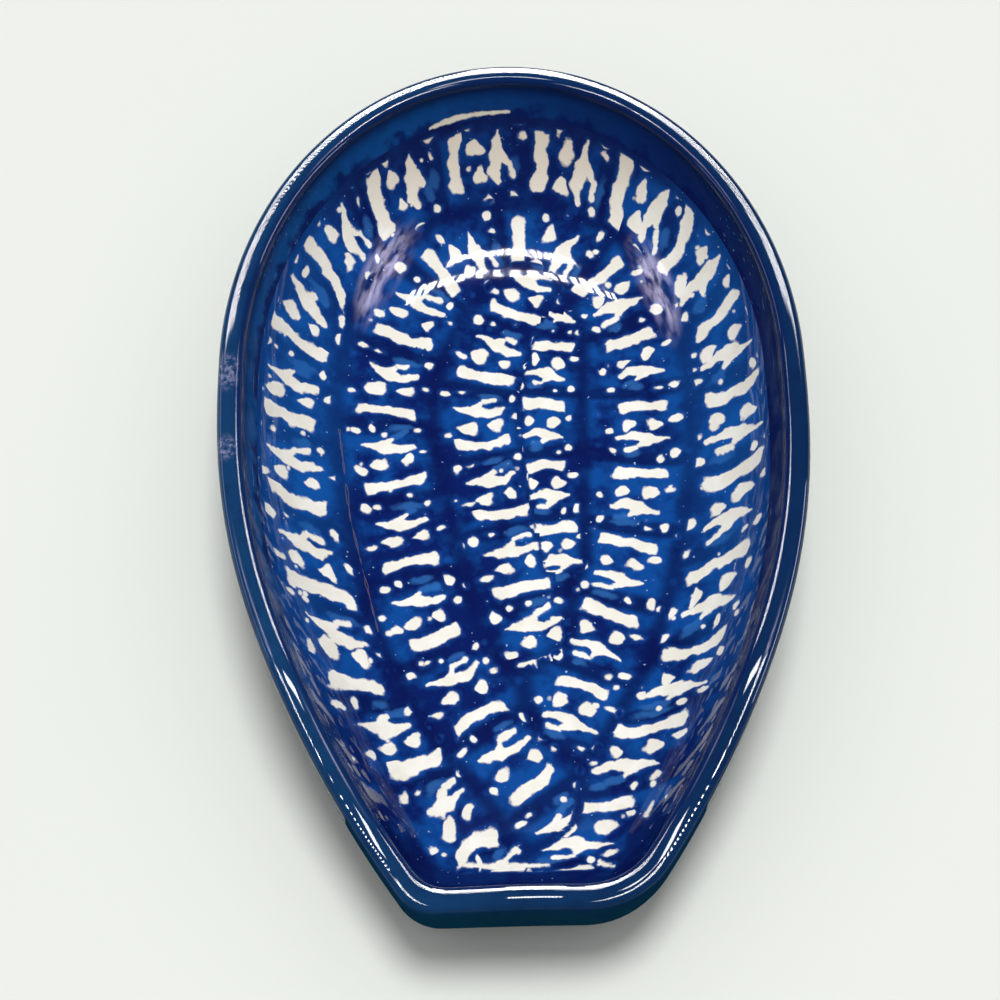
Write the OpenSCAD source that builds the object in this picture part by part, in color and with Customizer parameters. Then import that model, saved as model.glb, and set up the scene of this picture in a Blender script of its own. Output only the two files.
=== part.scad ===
// A glazed stoneware spoon rest, fired in one piece. The dish is egg-shaped in plan:
// a round end holds the spoon's bowl, and the sides draw in to a lower lip for its handle.
// Thin glaze films lie on the clay: a decorated one in the well, a plain one over the rim
// and down the outside, and one under the base, inside the bare foot ring.
// +Z is up, the round end points along +Y and the lip along -Y.
// The origin is on the table, under the middle of the dish.

/* [Outline] */
// Length from the round end to the lip
dish_l = 144; // [132:1:160]
// Width at the widest place
dish_w = 89; // [80:1:100]
// Distance from the round end to the widest place
round_l = 57.5; // [50:0.5:64]
// Width of the lip, where its edge would meet the lines of the sides
lip_w = 31; // [27:0.5:36]
// Angle of the sides to the long axis, beside the lip
side_angle = 34.5; // [31:0.5:37]
// Radius of the lip's corner on the right, seen from the lip
lip_right_r = 14; // [5:0.5:15]
// Radius of the lip's corner on the left
lip_left_r = 6; // [5:0.5:15]

/* [Rim] */
// Height of the rim above the table
dish_h = 22; // [19:0.5:28]
// Thickness of the rim
rim_t = 3.8; // [3.2:0.1:5]
// Height of the rim's crown, which is flat on top with round edges
crown_h = 1.5; // [1.2:0.1:1.9]
// How much lower the rim is at the lip
lip_dip = 4.5; // [0:0.5:6]
// Length along the dish over which the rim comes down to the lip
dip_l = 38; // [25:1:50]
// Rise of the soft hump in the middle of the lip
lip_hump = 0.7; // [0:0.1:1.5]

/* [Well] */
// Height of the well's floor above the table
floor_z = 4.8; // [4:0.1:7]
// How far the well's wall runs in at the round end
well_round_run = 42; // [34:0.5:44]
// How far it runs in at the sides
well_side_run = 24; // [20:0.5:26]
// How far it runs in at the lip
well_lip_run = 12; // [9:0.5:16]
// How far it runs in at the lip's corners
well_corner_run = 2.8; // [1.5:0.1:5]
// Radius of the floor's corners beside the lip
well_corner_r = 5; // [3:0.5:8]

/* [Foot] */
// Height of the foot ring
foot_h = 1.8; // [1.2:0.1:2.5]
// Width of the foot ring
foot_w = 3.5; // [2.5:0.1:4.5]
// Distance from the rim in to the foot at the round end
foot_round_inset = 20; // [15:0.5:24]
// The same at the sides
foot_side_inset = 15; // [11:0.5:18]
// The same at the lip
foot_lip_inset = 6; // [4:0.5:9]
// The same at the lip's corners
foot_corner_inset = 4.3; // [3:0.1:6]
// Radius of the foot's corners beside the lip
foot_corner_r = 6; // [4:0.5:8]
// Bevel that was wiped on the foot's edges
foot_bevel = 0.5; // [0.2:0.1:0.8]

/* [Glaze] */
// Thickness of the glaze films
glaze_t = 0.4; // [0.3:0.05:0.6]
// Depth of the plain band below the rim, inside the well
band_h = 4; // [2:0.5:6]

/* [Hidden] */

clay_color = [0.86, 0.83, 0.77];
cobalt_color = [0.04, 0.14, 0.33];
stamped_color = [0.13, 0.26, 0.62];
base_color = [0.05, 0.17, 0.38];

// Steps along each stretch of half an outline
lip_steps = 4;
corner_steps = 6;
side_steps = 14;
round_steps = 16;
// Steps around the section of each wall and of the crown
outside_steps = 7;
crown_steps = 8;
band_steps = 1;
well_steps = 9;

// Pull of the side's curve at its two ends: the share of the dish's widening that lies
// along the straight line beside the lip, and the share of the side's length beside
// the widest place
lip_pull_share = 0.97;
wide_pull_share = 0.24;
// Share of the lip's width that the hump takes up
hump_share = 0.5;
// Share of the dip's length that stays low beside the lip
low_share = 0.12;
// Share of the way to the floor's corner radius that the crown goes
crown_corner_share = 0.3;
// How square the crown is: 2 is an ellipse, and more is flatter on top
crown_power = 2.6;
// Angle round the section at which the well's leaning wall leaves the crown
wall_start = 15;

crown_r = rim_t / 2;
well_h = dish_h - crown_h - floor_z;
// Angle round the section at which the plain band ends
band_angle = asin(mix(sin(wall_start), 1, band_h / well_h));

// Plans. A plan holds an outline's half width, its ends on the long axis, half the
// width of its lip and its corner radii on the right and left.
rim_plan = [dish_w / 2, dish_l / 2, -dish_l / 2, lip_w / 2, lip_right_r, lip_left_r];
inner_plan = inset(rim_plan, rim_t);
floor_plan = [
    inner_plan[0] - well_side_run, inner_plan[1] - well_round_run, inner_plan[2] + well_lip_run,
    inner_plan[3] - well_corner_run, well_corner_r, well_corner_r
];
foot_plan = [
    rim_plan[0] - foot_side_inset, rim_plan[1] - foot_round_inset, rim_plan[2] + foot_lip_inset,
    rim_plan[3] - foot_corner_inset, foot_corner_r, foot_corner_r
];
foot_inner_plan = inset(foot_plan, foot_w);

function mix(a, b, share) = a + (b - a) * share;

// A plan moved in by the same distance all round, with its corner radii kept
function inset(plan, by) =
    plan - by * [1, 1, -1, (1 - sin(side_angle)) / cos(side_angle), 0, 0];

function cubic(a, b, c, d, t) =
    pow(1 - t, 3) * a + 3 * pow(1 - t, 2) * t * b + 3 * (1 - t) * t * t * c + pow(t, 3) * d;

// Right half of a plan's outline, from the middle of the lip to the tip of the round end
function half_outline(plan, corner_r) =
    let (
        along = [sin(side_angle), cos(side_angle)],
        turn = 90 - side_angle,
        setback = corner_r * tan(turn / 2),
        knee = [plan[3], plan[2]],
        corner_start = knee - [setback, 0],
        side_start = knee + setback * along,
        corner_centre = corner_start + [0, corner_r],
        wide = [plan[0], dish_l / 2 - round_l],
        side_l = wide.y - side_start.y,
        line_l = lip_pull_share * max(0, wide.x - side_start.x) / sin(side_angle),
        lip_handle = side_start + line_l * along,
        wide_handle = wide - [0, wide_pull_share * side_l],
        tip_l = plan[1] - wide.y
    )
    concat(
        [for (i = [0:lip_steps - 1]) mix([0, plan[2]], corner_start, i / lip_steps)],
        [for (i = [0:corner_steps - 1])
            let (a = turn * i / corner_steps)
            corner_centre + corner_r * [sin(a), -cos(a)]],
        [for (i = [0:side_steps - 1])
            cubic(side_start, lip_handle, wide_handle, wide, i / side_steps)],
        [for (i = [0:round_steps])
            let (a = 90 * i / round_steps)
            [wide.x * cos(a), wide.y + tip_l * sin(a)]]
    );

// A whole outline, anticlockwise from above. The left half has its own corner radius.
function outline(plan) =
    let (
        right = half_outline(plan, plan[4]),
        left = half_outline(plan, plan[5])
    )
    concat(right, [for (i = [len(left) - 2:-1:1]) [-left[i].x, left[i].y]]);

// Height at which the crown begins, at one point of the rim's outline: it comes down
// smoothly to the lip, which has a soft hump in its middle
function crown_z(p) =
    let (
        from_lip = (p.y + dish_l / 2) / dip_l,
        t = min(1, max(0, (from_lip - low_share) / (1 - low_share))),
        down = lip_dip * (1 - t * t * (3 - 2 * t)),
        u = min(1, abs(p.x) / (hump_share * lip_w)),
        up = from_lip < 1 ? lip_hump * (1 - t) * pow(cos(90 * u), 2) : 0
    )
    dish_h - crown_h - down + up;

rim_outline = outline(rim_plan);
crown_heights = [for (p = rim_outline) crown_z(p)];
ring_count = len(rim_outline);

// One ring of points: a plan's outline, which lies share of the way down from where the
// crown begins to the height low, and then up by the distance up
function ring(plan, share, low, up) =
    let (line = outline(plan))
    [for (i = [0:ring_count - 1])
        [line[i].x, line[i].y, mix(crown_heights[i], low, share) + up]];

// Rings of the surface, at the angle a round each section. The clay's surface lies
// the distance under below the finished one.
function outside_ring(a, under) =
    ring(inset(mix(rim_plan, foot_plan, 1 - cos(a)), under * cos(a)),
        sin(a), foot_h, under * sin(a));

function crown_ring(a, under) =
    let (
        in = crown_r - (crown_r - under) * blunted(cos(a)),
        share = crown_corner_share * in / rim_t
    )
    ring(corners(inset(rim_plan, in), share), 0, 0, (crown_h - under) * blunted(sin(a)));

// A sine or cosine changed so that the crown it draws is flatter on top
function blunted(x) = sign(x) * pow(abs(x), 2 / crown_power);

// The well's wall leans in from the crown, and curves round into the floor
function well_ring(a, under) =
    let (
        start = corners(inner_plan, crown_corner_share),
        plan = mix(start, floor_plan, 1 - cos(a) / cos(wall_start)),
        down = (sin(a) - sin(wall_start)) / (1 - sin(wall_start))
    )
    ring(inset(plan, -under * cos(a)), down, floor_z, -under * sin(a));

// A plan with its corner radii taken share of the way to those of the floor
function corners(plan, share) = [
    plan[0], plan[1], plan[2], plan[3],
    mix(plan[4], well_corner_r, share), mix(plan[5], well_corner_r, share)
];

function flat_ring(plan, z) = ring(plan, 1, z, 0);

// The surface in stretches that follow one another, from the foot up and over the rim
function outside_rings(under) =
    [for (i = [0:outside_steps]) outside_ring(90 * (1 - i / outside_steps), under)];

function crown_rings(under) =
    [for (i = [1:crown_steps]) crown_ring(180 * i / crown_steps, under)];

function band_rings(under) =
    [for (i = [1:band_steps]) well_ring(mix(wall_start, band_angle, i / band_steps), under)];

function well_rings(under) =
    [for (i = [0:well_steps]) well_ring(mix(band_angle, 90, i / well_steps), under)];

// Triangles between two rings that start at the points a and b
function strip(a, b) = [
    for (i = [0:ring_count - 1])
    let (j = (i + 1) % ring_count)
    each [[b + j, a + j, a + i], [b + i, b + j, a + i]]
];

function turned(faces) = [for (f = faces) [f[2], f[1], f[0]]];

// Triangles from a ring that starts at the point a to the point tip in its middle
function fan(a, tip) = [for (i = [0:ring_count - 1]) [tip, a + (i + 1) % ring_count, a + i]];

function middle(ring) = (min([for (p = ring) p.y]) + max([for (p = ring) p.y])) / 2;

// A point in the middle of a flat ring
function tip_of(ring) = [0, middle(ring), ring[0].z];

// A solid lofted through rings, closed over its first and last ones
module loft(rings) {
    last = (len(rings) - 1) * ring_count;
    low_tip = len(rings) * ring_count;
    polyhedron(
        points = concat([for (r = rings) each r], [tip_of(rings[0]), tip_of(rings[len(rings) - 1])]),
        faces = concat(
            [for (k = [0:len(rings) - 2]) each strip(k * ring_count, (k + 1) * ring_count)],
            turned(fan(0, low_tip)),
            fan(last, low_tip + 1)
        )
    );
}

// A film between the finished rings and the clay's rings under them. It is open at
// its first ring, and at its last one too unless it is closed over there.
module film(finished, clay, closed) {
    count = len(finished);
    under = count * ring_count;
    last = (count - 1) * ring_count;
    tip = 2 * count * ring_count;
    tips = closed ? [tip_of(finished[count - 1]), tip_of(clay[count - 1])] : [];
    polyhedron(
        points = concat([for (r = finished) each r], [for (r = clay) each r], tips),
        faces = concat(
            [for (k = [0:count - 2]) each strip(k * ring_count, (k + 1) * ring_count)],
            turned([for (k = [0:count - 2])
                each strip(under + k * ring_count, under + (k + 1) * ring_count)]),
            strip(under, 0),
            closed
                ? concat(fan(last, tip), turned(fan(under + last, tip + 1)))
                : strip(last, under + last)
        )
    );
}

// The fired clay: the foot ring round a shallow recess, the outer wall, the crown of
// the rim, and the well's wall down to its floor
module stoneware_body() {
    foot_rings = [
        flat_ring(foot_inner_plan, foot_h),
        flat_ring(foot_inner_plan, foot_bevel),
        flat_ring(inset(foot_inner_plan, -foot_bevel), 0),
        flat_ring(inset(foot_plan, foot_bevel), 0),
        flat_ring(foot_plan, foot_bevel)
    ];
    color(clay_color)
        loft(concat(
            foot_rings,
            outside_rings(glaze_t),
            crown_rings(glaze_t),
            band_rings(glaze_t),
            [for (i = [1:well_steps]) well_rings(glaze_t)[i]]
        ));
}

// The stamped and clear-glazed lining of the well, below the plain band
module bowl_glaze() {
    color(stamped_color)
        film(well_rings(0), well_rings(glaze_t), true);
}

// The plain cobalt coat from the foot up the outside, over the rim and down to the
// end of the plain band inside
module outside_glaze() {
    color(cobalt_color)
        film(
            concat(outside_rings(0), crown_rings(0), band_rings(0)),
            concat(outside_rings(glaze_t), crown_rings(glaze_t), band_rings(glaze_t)),
            false
        );
}

// The glaze under the base, inside the foot ring
module base_glaze() {
    color(base_color)
        loft([flat_ring(foot_inner_plan, foot_h - glaze_t), flat_ring(foot_inner_plan, foot_h)]);
}

stoneware_body();
bowl_glaze();
outside_glaze();
base_glaze();
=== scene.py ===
import math

import bmesh
import bpy
import numpy as np
from mathutils import Matrix, Vector


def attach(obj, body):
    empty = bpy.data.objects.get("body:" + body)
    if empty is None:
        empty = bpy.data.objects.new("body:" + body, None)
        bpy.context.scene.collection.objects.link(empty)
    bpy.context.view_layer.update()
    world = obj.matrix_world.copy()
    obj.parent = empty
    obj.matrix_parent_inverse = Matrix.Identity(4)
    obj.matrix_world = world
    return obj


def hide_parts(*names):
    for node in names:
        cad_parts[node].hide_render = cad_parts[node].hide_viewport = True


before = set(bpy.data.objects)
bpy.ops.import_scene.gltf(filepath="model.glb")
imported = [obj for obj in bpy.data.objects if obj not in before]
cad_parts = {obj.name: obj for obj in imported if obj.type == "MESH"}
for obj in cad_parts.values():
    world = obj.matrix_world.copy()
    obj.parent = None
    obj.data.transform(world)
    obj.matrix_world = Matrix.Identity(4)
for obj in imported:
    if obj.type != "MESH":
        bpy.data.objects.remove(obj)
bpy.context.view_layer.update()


# The camera. It looks down on the dish from the lip's side, a little to the left of the
# long axis, and the small shift puts the dish where the photograph has it.
CAMERA_TILT = math.radians(31)
CAMERA_TURN = math.radians(-1.37)
CAMERA_DISTANCE = 0.33
CAMERA_TARGET = Vector((0, 0, 0.011))
CAMERA_LENS = 77.9
CAMERA_SHIFT = (-0.014, -0.029)

camera = bpy.data.objects.new("camera", bpy.data.cameras.new("camera"))
bpy.context.scene.collection.objects.link(camera)
camera.data.lens = CAMERA_LENS
camera.data.shift_x, camera.data.shift_y = CAMERA_SHIFT
camera.matrix_world = (
    Matrix.Translation(CAMERA_TARGET)
    @ Matrix.Rotation(CAMERA_TURN, 4, "Z")
    @ Matrix.Rotation(CAMERA_TILT, 4, "X")
    @ Matrix.Translation((0, 0, CAMERA_DISTANCE))
)
bpy.context.scene.camera = camera
bpy.context.scene.view_settings.view_transform = "Standard"


# The table: a pale sheet of card that runs far out under the dish, so that it is also
# the background. Its colour varies very slightly, as card does.
def srgb(red, green, blue):
    """A colour given in 0 to 255, as a material's socket takes it"""
    shares = (red / 255, green / 255, blue / 255)
    linear = [s / 12.92 if s <= 0.04045 else ((s + 0.055) / 1.055) ** 2.4 for s in shares]
    return (*linear, 1)


def add(tree, kind, **settings):
    """A new node with its settings. A name that starts with in_ sets or links a socket."""
    made = tree.nodes.new("ShaderNode" + kind)
    for name, value in settings.items():
        if not name.startswith("in_"):
            setattr(made, name, value)
    for name, value in settings.items():
        if name.startswith("in_"):
            key = name[3:].replace("_", " ")
            wire(tree, value, made.inputs[int(key) if key.isdigit() else key])
    return made


def wire(tree, value, socket):
    """Links an output to a socket, or sets the socket's own value"""
    if isinstance(value, bpy.types.NodeSocket):
        tree.links.new(value, socket)
    else:
        socket.default_value = value


def blend(tree, share, one, two):
    """Two colours mixed by a share"""
    made = add(tree, "Mix", data_type="RGBA", in_Factor=share, in_6=one, in_7=two)
    return made.outputs[2]


def noise_at(tree, place, scale, detail=2.0, roughness=0.5, output="Fac"):
    """Soft noise of a scale in repeats to the metre"""
    made = add(tree, "TexNoise", in_Vector=place, in_Scale=scale, in_Detail=detail,
               in_Roughness=roughness)
    return made.outputs[output]


def new_material(name):
    """A material with an empty Principled BSDF"""
    material = bpy.data.materials.new(name)
    material.use_nodes = True
    tree = material.node_tree
    tree.nodes.clear()
    shader = add(tree, "BsdfPrincipled")
    add(tree, "OutputMaterial", in_Surface=shader.outputs[0])
    return material, tree, shader


def put_object(name, bm, *materials, smooth=True):
    """Turns a mesh in millimetres into an object of the scene, in metres"""
    bmesh.ops.scale(bm, vec=(0.001, 0.001, 0.001), verts=bm.verts)
    mesh = bpy.data.meshes.new(name)
    bm.to_mesh(mesh)
    bm.free()
    mesh.polygons.foreach_set("use_smooth", [smooth] * len(mesh.polygons))
    for material in materials:
        mesh.materials.append(material)
    made = bpy.data.objects.new(name, mesh)
    bpy.context.scene.collection.objects.link(made)
    return made


TABLE_RADIUS = 30000
CARD_GREY = srgb(229, 233, 227)
CARD_WHITE = srgb(234, 237, 231)

card, tree, shader = new_material("pale_card")
place = add(tree, "TexCoord").outputs["Object"]
wire(tree, blend(tree, noise_at(tree, place, 9.0), CARD_GREY, CARD_WHITE),
     shader.inputs["Base Color"])
shader.inputs["Roughness"].default_value = 0.9
shader.inputs["Specular IOR Level"].default_value = 0.0

bm = bmesh.new()
bmesh.ops.create_circle(bm, cap_ends=True, radius=TABLE_RADIUS, segments=64)
table = put_object("table", bm, card, smooth=False)


# The light: two rows of small lamps over the far end of the dish give the dashed
# highlights in its well, and soft boxes at the sides the sheens in it and on the rim. A soft
# key light and a broad fill, which show in no reflection, light the dish and its shadow.
LAMP_DEPTH = 0.034
LAMP_DISTANCE = 1.4
# Watts for each square metre of a row's lamps
LAMP_WATTS = 220
# Each row's tilt, its length, its number of lamps and how wide each is
LAMP_ROWS = ((13.0, 0.40, 24, 0.009), (17.5, 0.62, 17, 0.02))
BOX_COLOUR = (0.87, 0.78, 1.0)
LOW_BOX_COLOUR = (0.8, 0.78, 1.0)


def calc(tree, operation, *values, clamp=False):
    """A Math node over one to three values"""
    made = add(tree, "Math", operation=operation, use_clamp=clamp)
    for i, value in enumerate(values):
        wire(tree, value, made.inputs[i])
    return made.outputs[0]


def product(tree, *values):
    """Values multiplied together"""
    whole = values[0]
    for value in values[1:]:
        whole = calc(tree, "MULTIPLY", whole, value)
    return whole


def rise(tree, value, low, high):
    """0 below the value low and 1 above high, with a smooth step between them. Where
    low is the greater of the two it falls instead."""
    made = add(tree, "MapRange", interpolation_type="SMOOTHSTEP", in_Value=value,
               in_From_Min=low, in_From_Max=high)
    return made.outputs[0]


def add_lamp(name, kind, power, turn, tilt, distance, **settings):
    """A lamp that looks at the dish from tilt degrees off the vertical. Turned 0 it is
    on the side of the round end, and turned 90 on the left."""
    data = bpy.data.lights.new(name, kind)
    data.energy = power
    for key, value in settings.items():
        setattr(data, key, value)
    lamp = bpy.data.objects.new(name, data)
    bpy.context.scene.collection.objects.link(lamp)
    lamp.matrix_world = (
        Matrix.Rotation(math.radians(turn), 4, "Z")
        @ Matrix.Rotation(math.radians(-tilt), 4, "X")
        @ Matrix.Translation((0, 0, distance))
    )
    return lamp


row_lamps = []
for row, (tilt, length, count, width) in enumerate(LAMP_ROWS):
    first = add_lamp("row_%d_lamp_0" % row, "AREA", LAMP_WATTS * width * LAMP_DEPTH, 0, tilt,
                     LAMP_DISTANCE, shape="RECTANGLE", size=width, size_y=LAMP_DEPTH)
    row_middle = first.matrix_world.copy()
    for i in range(count):
        lamp = first
        if i:
            lamp = bpy.data.objects.new("row_%d_lamp_%d" % (row, i), first.data)
            bpy.context.scene.collection.objects.link(lamp)
        along = length * (i / (count - 1) - 0.5)
        lamp.matrix_world = Matrix.Translation((along, 0, 0)) @ row_middle
        lamp.visible_diffuse = False
        row_lamps.append(lamp)

# Two boxes with mottled faces, at these turns and tilts
for name, turn, tilt in (("left_box", 66, 34), ("right_box", -67, 28)):
    box = add_lamp(name, "AREA", 3.6, turn, tilt, 0.7, shape="RECTANGLE", size=0.26, size_y=0.24,
                   color=BOX_COLOUR, use_nodes=True)
    box.visible_diffuse = False
    tree = box.data.node_tree
    face = add(tree, "NewGeometry").outputs["Parametric"]
    from_middle = add(tree, "VectorMath", operation="DISTANCE", in_0=face, in_1=(0.5, 0.5, 0))
    patch = product(tree, rise(tree, from_middle.outputs["Value"], 0.55, 0.05),
                    rise(tree, noise_at(tree, face, 5.0, 3.0, 0.6), 0.35, 0.68))
    wire(tree, patch, tree.nodes["Emission"].inputs["Strength"])

# Two long, low boxes, at these turns and powers
low_boxes = []
for name, turn, power in (("low_left_box", -85, 2.4), ("low_right_box", 72, 0.7)):
    box = add_lamp(name, "AREA", power, turn, 66, 0.8, shape="RECTANGLE", size=0.5, size_y=0.12,
                   color=LOW_BOX_COLOUR)
    box.visible_diffuse = False
    low_boxes.append(box)

for name, power, turn, tilt, wide in (("key", 1.9, -16, 10, 22), ("fill", 1.4, 0, 0, 120)):
    sun = add_lamp(name, "SUN", power, turn, tilt, 2.0, angle=math.radians(wide))
    sun.visible_glossy = False

# The room: a faint, slightly cool light from all round
world = bpy.data.worlds.new("room")
bpy.context.scene.world = world
world.use_nodes = True
world.node_tree.nodes["Background"].inputs["Color"].default_value = (0.95, 0.97, 1.0, 1)
world.node_tree.nodes["Background"].inputs["Strength"].default_value = 0.03


# A round screen of bright spokes gives the fine strokes across the rim. The spokes run
# out from the direction in which the flat top of the rim mirrors the camera.
SCREEN_DISTANCE = 3.0
SCREEN_MIDDLE = Matrix.Rotation(-CAMERA_TILT, 3, "X") @ Vector((0, 0, SCREEN_DISTANCE))
SCREEN_RADIUS = 6500
SCREEN_STRENGTH = 55.0
# Seen in the flat top of the rim, the rim's round end is an oval: its middle's height on the
# screen, its width, how much nearer its two ends lie and how far out it begins
OVAL_MIDDLE = 0.125
OVAL_WIDTH = 0.903
OVAL_NEARER = -0.0916
OVAL_EDGE = 0.47
# The rim's straight sides beside the lip lean by this on the screen
SIDE_LEAN = (0.49, 0.87)
FAR_SPOKES = 440.0
NEAR_SPOKES = 130.0
LINE_FLICKER = 150.0


def fray(tree, along, scale, size):
    """A jagged shift of up to half its size either way, which changes along a line"""
    line = add(tree, "CombineXYZ", in_X=along).outputs[0]
    return calc(tree, "MULTIPLY_ADD", noise_at(tree, line, scale), size, -size / 2)


def within(tree, value, start, full, fade, end):
    """1 from full to fade, and 0 before start and after end"""
    return product(tree, rise(tree, value, start, full), rise(tree, value, end, fade))


def stripes(tree, along, count, low, high):
    """Bright stripes across a line"""
    return rise(tree, calc(tree, "SINE", calc(tree, "MULTIPLY", along, count)), low, high)


spokes, tree, shader = new_material("spoke_screen")
tree.nodes.remove(shader)
place = add(tree, "TexCoord").outputs["Object"]
screen_up = (0, math.cos(CAMERA_TILT), -math.sin(CAMERA_TILT))
u, v = [add(tree, "VectorMath", operation="DOT_PRODUCT", in_0=place, in_1=axis).outputs["Value"]
        for axis in ((1, 0, 0), screen_up)]
v_oval = calc(tree, "SUBTRACT", v, OVAL_MIDDLE)
u_oval = calc(tree, "MULTIPLY", u, OVAL_WIDTH)
angle = calc(tree, "ARCTAN2", v_oval, u_oval)
nearer = calc(tree, "MULTIPLY_ADD", calc(tree, "SINE", angle), OVAL_NEARER, v_oval)
angle = calc(tree, "ARCTAN2", nearer, u_oval)
height = calc(tree, "SINE", angle)
from_middle = add(tree, "VectorMath", operation="LENGTH",
                  in_0=add(tree, "CombineXYZ", in_X=u, in_Y=v_oval).outputs[0]).outputs["Value"]
beyond = calc(tree, "ADD", calc(tree, "SUBTRACT", from_middle, OVAL_EDGE),
              fray(tree, angle, 150.0, 0.9))
brighter = calc(tree, "MULTIPLY_ADD", rise(tree, height, 0.75, 0.95), 1.2, 1.0)
far_side = product(tree, rise(tree, height, 0.14, 0.26), within(tree, beyond, -0.1, 0.02, 1.2, 1.6),
                   stripes(tree, angle, FAR_SPOKES, 0.15, 0.7), brighter)
# The two straight sides beside the lip, where the rim dips, are mirrored further down
u_side = calc(tree, "ABSOLUTE", u)
out_side = calc(tree, "MULTIPLY_ADD", u_side, SIDE_LEAN[1],
                calc(tree, "MULTIPLY", v, -SIDE_LEAN[0]))
along_side = calc(tree, "MULTIPLY_ADD", u_side, SIDE_LEAN[0],
                  calc(tree, "MULTIPLY", v, SIDE_LEAN[1]))
out_side = calc(tree, "ADD", out_side, fray(tree, along_side, 60.0, 0.8))
near_side = product(tree, within(tree, out_side, 1.15, 1.25, 2.3, 2.5), rise(tree, v, -1.15, -1.3),
                    rise(tree, u_side, 0.9, 1.0),
                    stripes(tree, along_side, NEAR_SPOKES, -0.1, 0.7), 1.2)
# Two short lines in the middle of the lip
flicker = calc(tree, "MULTIPLY_ADD", calc(tree, "SINE", calc(tree, "MULTIPLY", u, LINE_FLICKER)),
               0.2, 0.5)
lines = product(tree, calc(tree, "MAXIMUM", within(tree, v, -1.16, -1.08, -0.92, -0.84),
                           within(tree, v, 1.5, 1.7, 3.0, 3.3)),
                within(tree, u, -0.24, -0.2, 0.46, 0.5), flicker, 1.2)
# The strokes come and go round the rim, but not at the top of its round end
around = add(tree, "CombineXYZ", in_X=calc(tree, "COSINE", angle), in_Y=height).outputs[0]
kept = calc(tree, "MAXIMUM", rise(tree, noise_at(tree, around, 9.0, 3.0, 0.7), 0.3, 0.46),
            rise(tree, height, 0.8, 0.9))
strokes = product(tree, calc(tree, "MAXIMUM", far_side, near_side), kept)
lit = product(tree, calc(tree, "MAXIMUM", strokes, lines), SCREEN_STRENGTH)
wire(tree, add(tree, "Emission", in_Strength=lit).outputs[0],
     tree.nodes["Material Output"].inputs["Surface"])
spokes.cycles.emission_sampling = "NONE"

bm = bmesh.new()
bmesh.ops.create_circle(bm, cap_ends=True, radius=SCREEN_RADIUS, segments=64)
bmesh.ops.rotate(bm, matrix=Matrix.Rotation(-CAMERA_TILT, 3, "X"), verts=bm.verts)
bmesh.ops.translate(bm, vec=SCREEN_MIDDLE * 1000, verts=bm.verts)
screen = put_object("spoke_screen", bm, spokes, smooth=False)
screen.visible_camera = False
screen.visible_diffuse = False
screen.visible_shadow = False


# The stoneware body: one piece of pale, fine-grained clay, pressed in a mould and
# fired. Only its foot ring shows, where the glaze was wiped off so that the dish can
# stand in the kiln.
DISH_LENGTH = 144.0
DISH_WIDTH = 89.0
ROUND_LENGTH = 57.5
LIP_WIDTH = 31.0
SIDE_ANGLE = math.radians(34.5)
# The radii of the lip's right and left corners
LIP_CORNERS = (14.0, 6.0)
# How far the side's curve is pulled along its straight ends, at the lip and where it is widest
LIP_PULL = 0.97
WIDE_PULL = 0.24
DISH_HEIGHT = 22.0
RIM_THICKNESS = 3.8
CROWN_HEIGHT = 1.5
CROWN_POWER = 2.6
LIP_DIP = 4.5
DIP_LENGTH = 38.0
# The share of that length at the lip which stays level
DIP_LEVEL = 0.12
LIP_HUMP = 0.7
FLOOR_HEIGHT = 4.8
FLOOR_CORNER = 5.0
# The share of the way to the floor's corner radius that is gone at the rim's inner edge
CROWN_CORNER = 0.3
FOOT_HEIGHT = 1.8
FOOT_WIDTH = 3.5
FOOT_CORNER = 6.0
FOOT_BEVEL = 0.5
# A bevel's middle is rounded to this depth
BEVEL_ROUND = 0.3 * FOOT_BEVEL
GLAZE = 0.4
BAND_DEPTH = 4.0
WALL_START = math.radians(15)
# How far the floor and the foot lie in from the side, the round end and the lip, and how
# much narrower they are at the lip
FLOOR_MOVES = (-24, -42, 12, -2.8)
FOOT_MOVES = (-15, -20, 6, -4.3)
# Steps along half an outline: the lip, its corner, the side and the round end
OUTLINE_STEPS = (6, 10, 50, 56)
# Steps from the foot up and over into the well
OUTSIDE_STEPS = 20
CROWN_STEPS = 24
BAND_STEPS = 5
WALL_STEPS = 34
FLOOR_STEPS = 22
CLOSE_STEP = 0.04
CLAY_BUFF = srgb(205, 190, 164)
CLAY_PALE = srgb(228, 217, 196)
CLAY_SPECK = srgb(138, 112, 84)


def mixed(one, two, share):
    return [a + (b - a) * share for a, b in zip(one, two)]


def inset(plan, by):
    """A plan moved in by the same distance all round. A plan holds an outline's half
    width, its far end, its lip's end, half its lip's width and its corner radii."""
    at_lip = (1 - math.sin(SIDE_ANGLE)) / math.cos(SIDE_ANGLE)
    return [size - by * move for size, move in zip(plan, (1, 1, -1, at_lip, 0, 0))]


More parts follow.
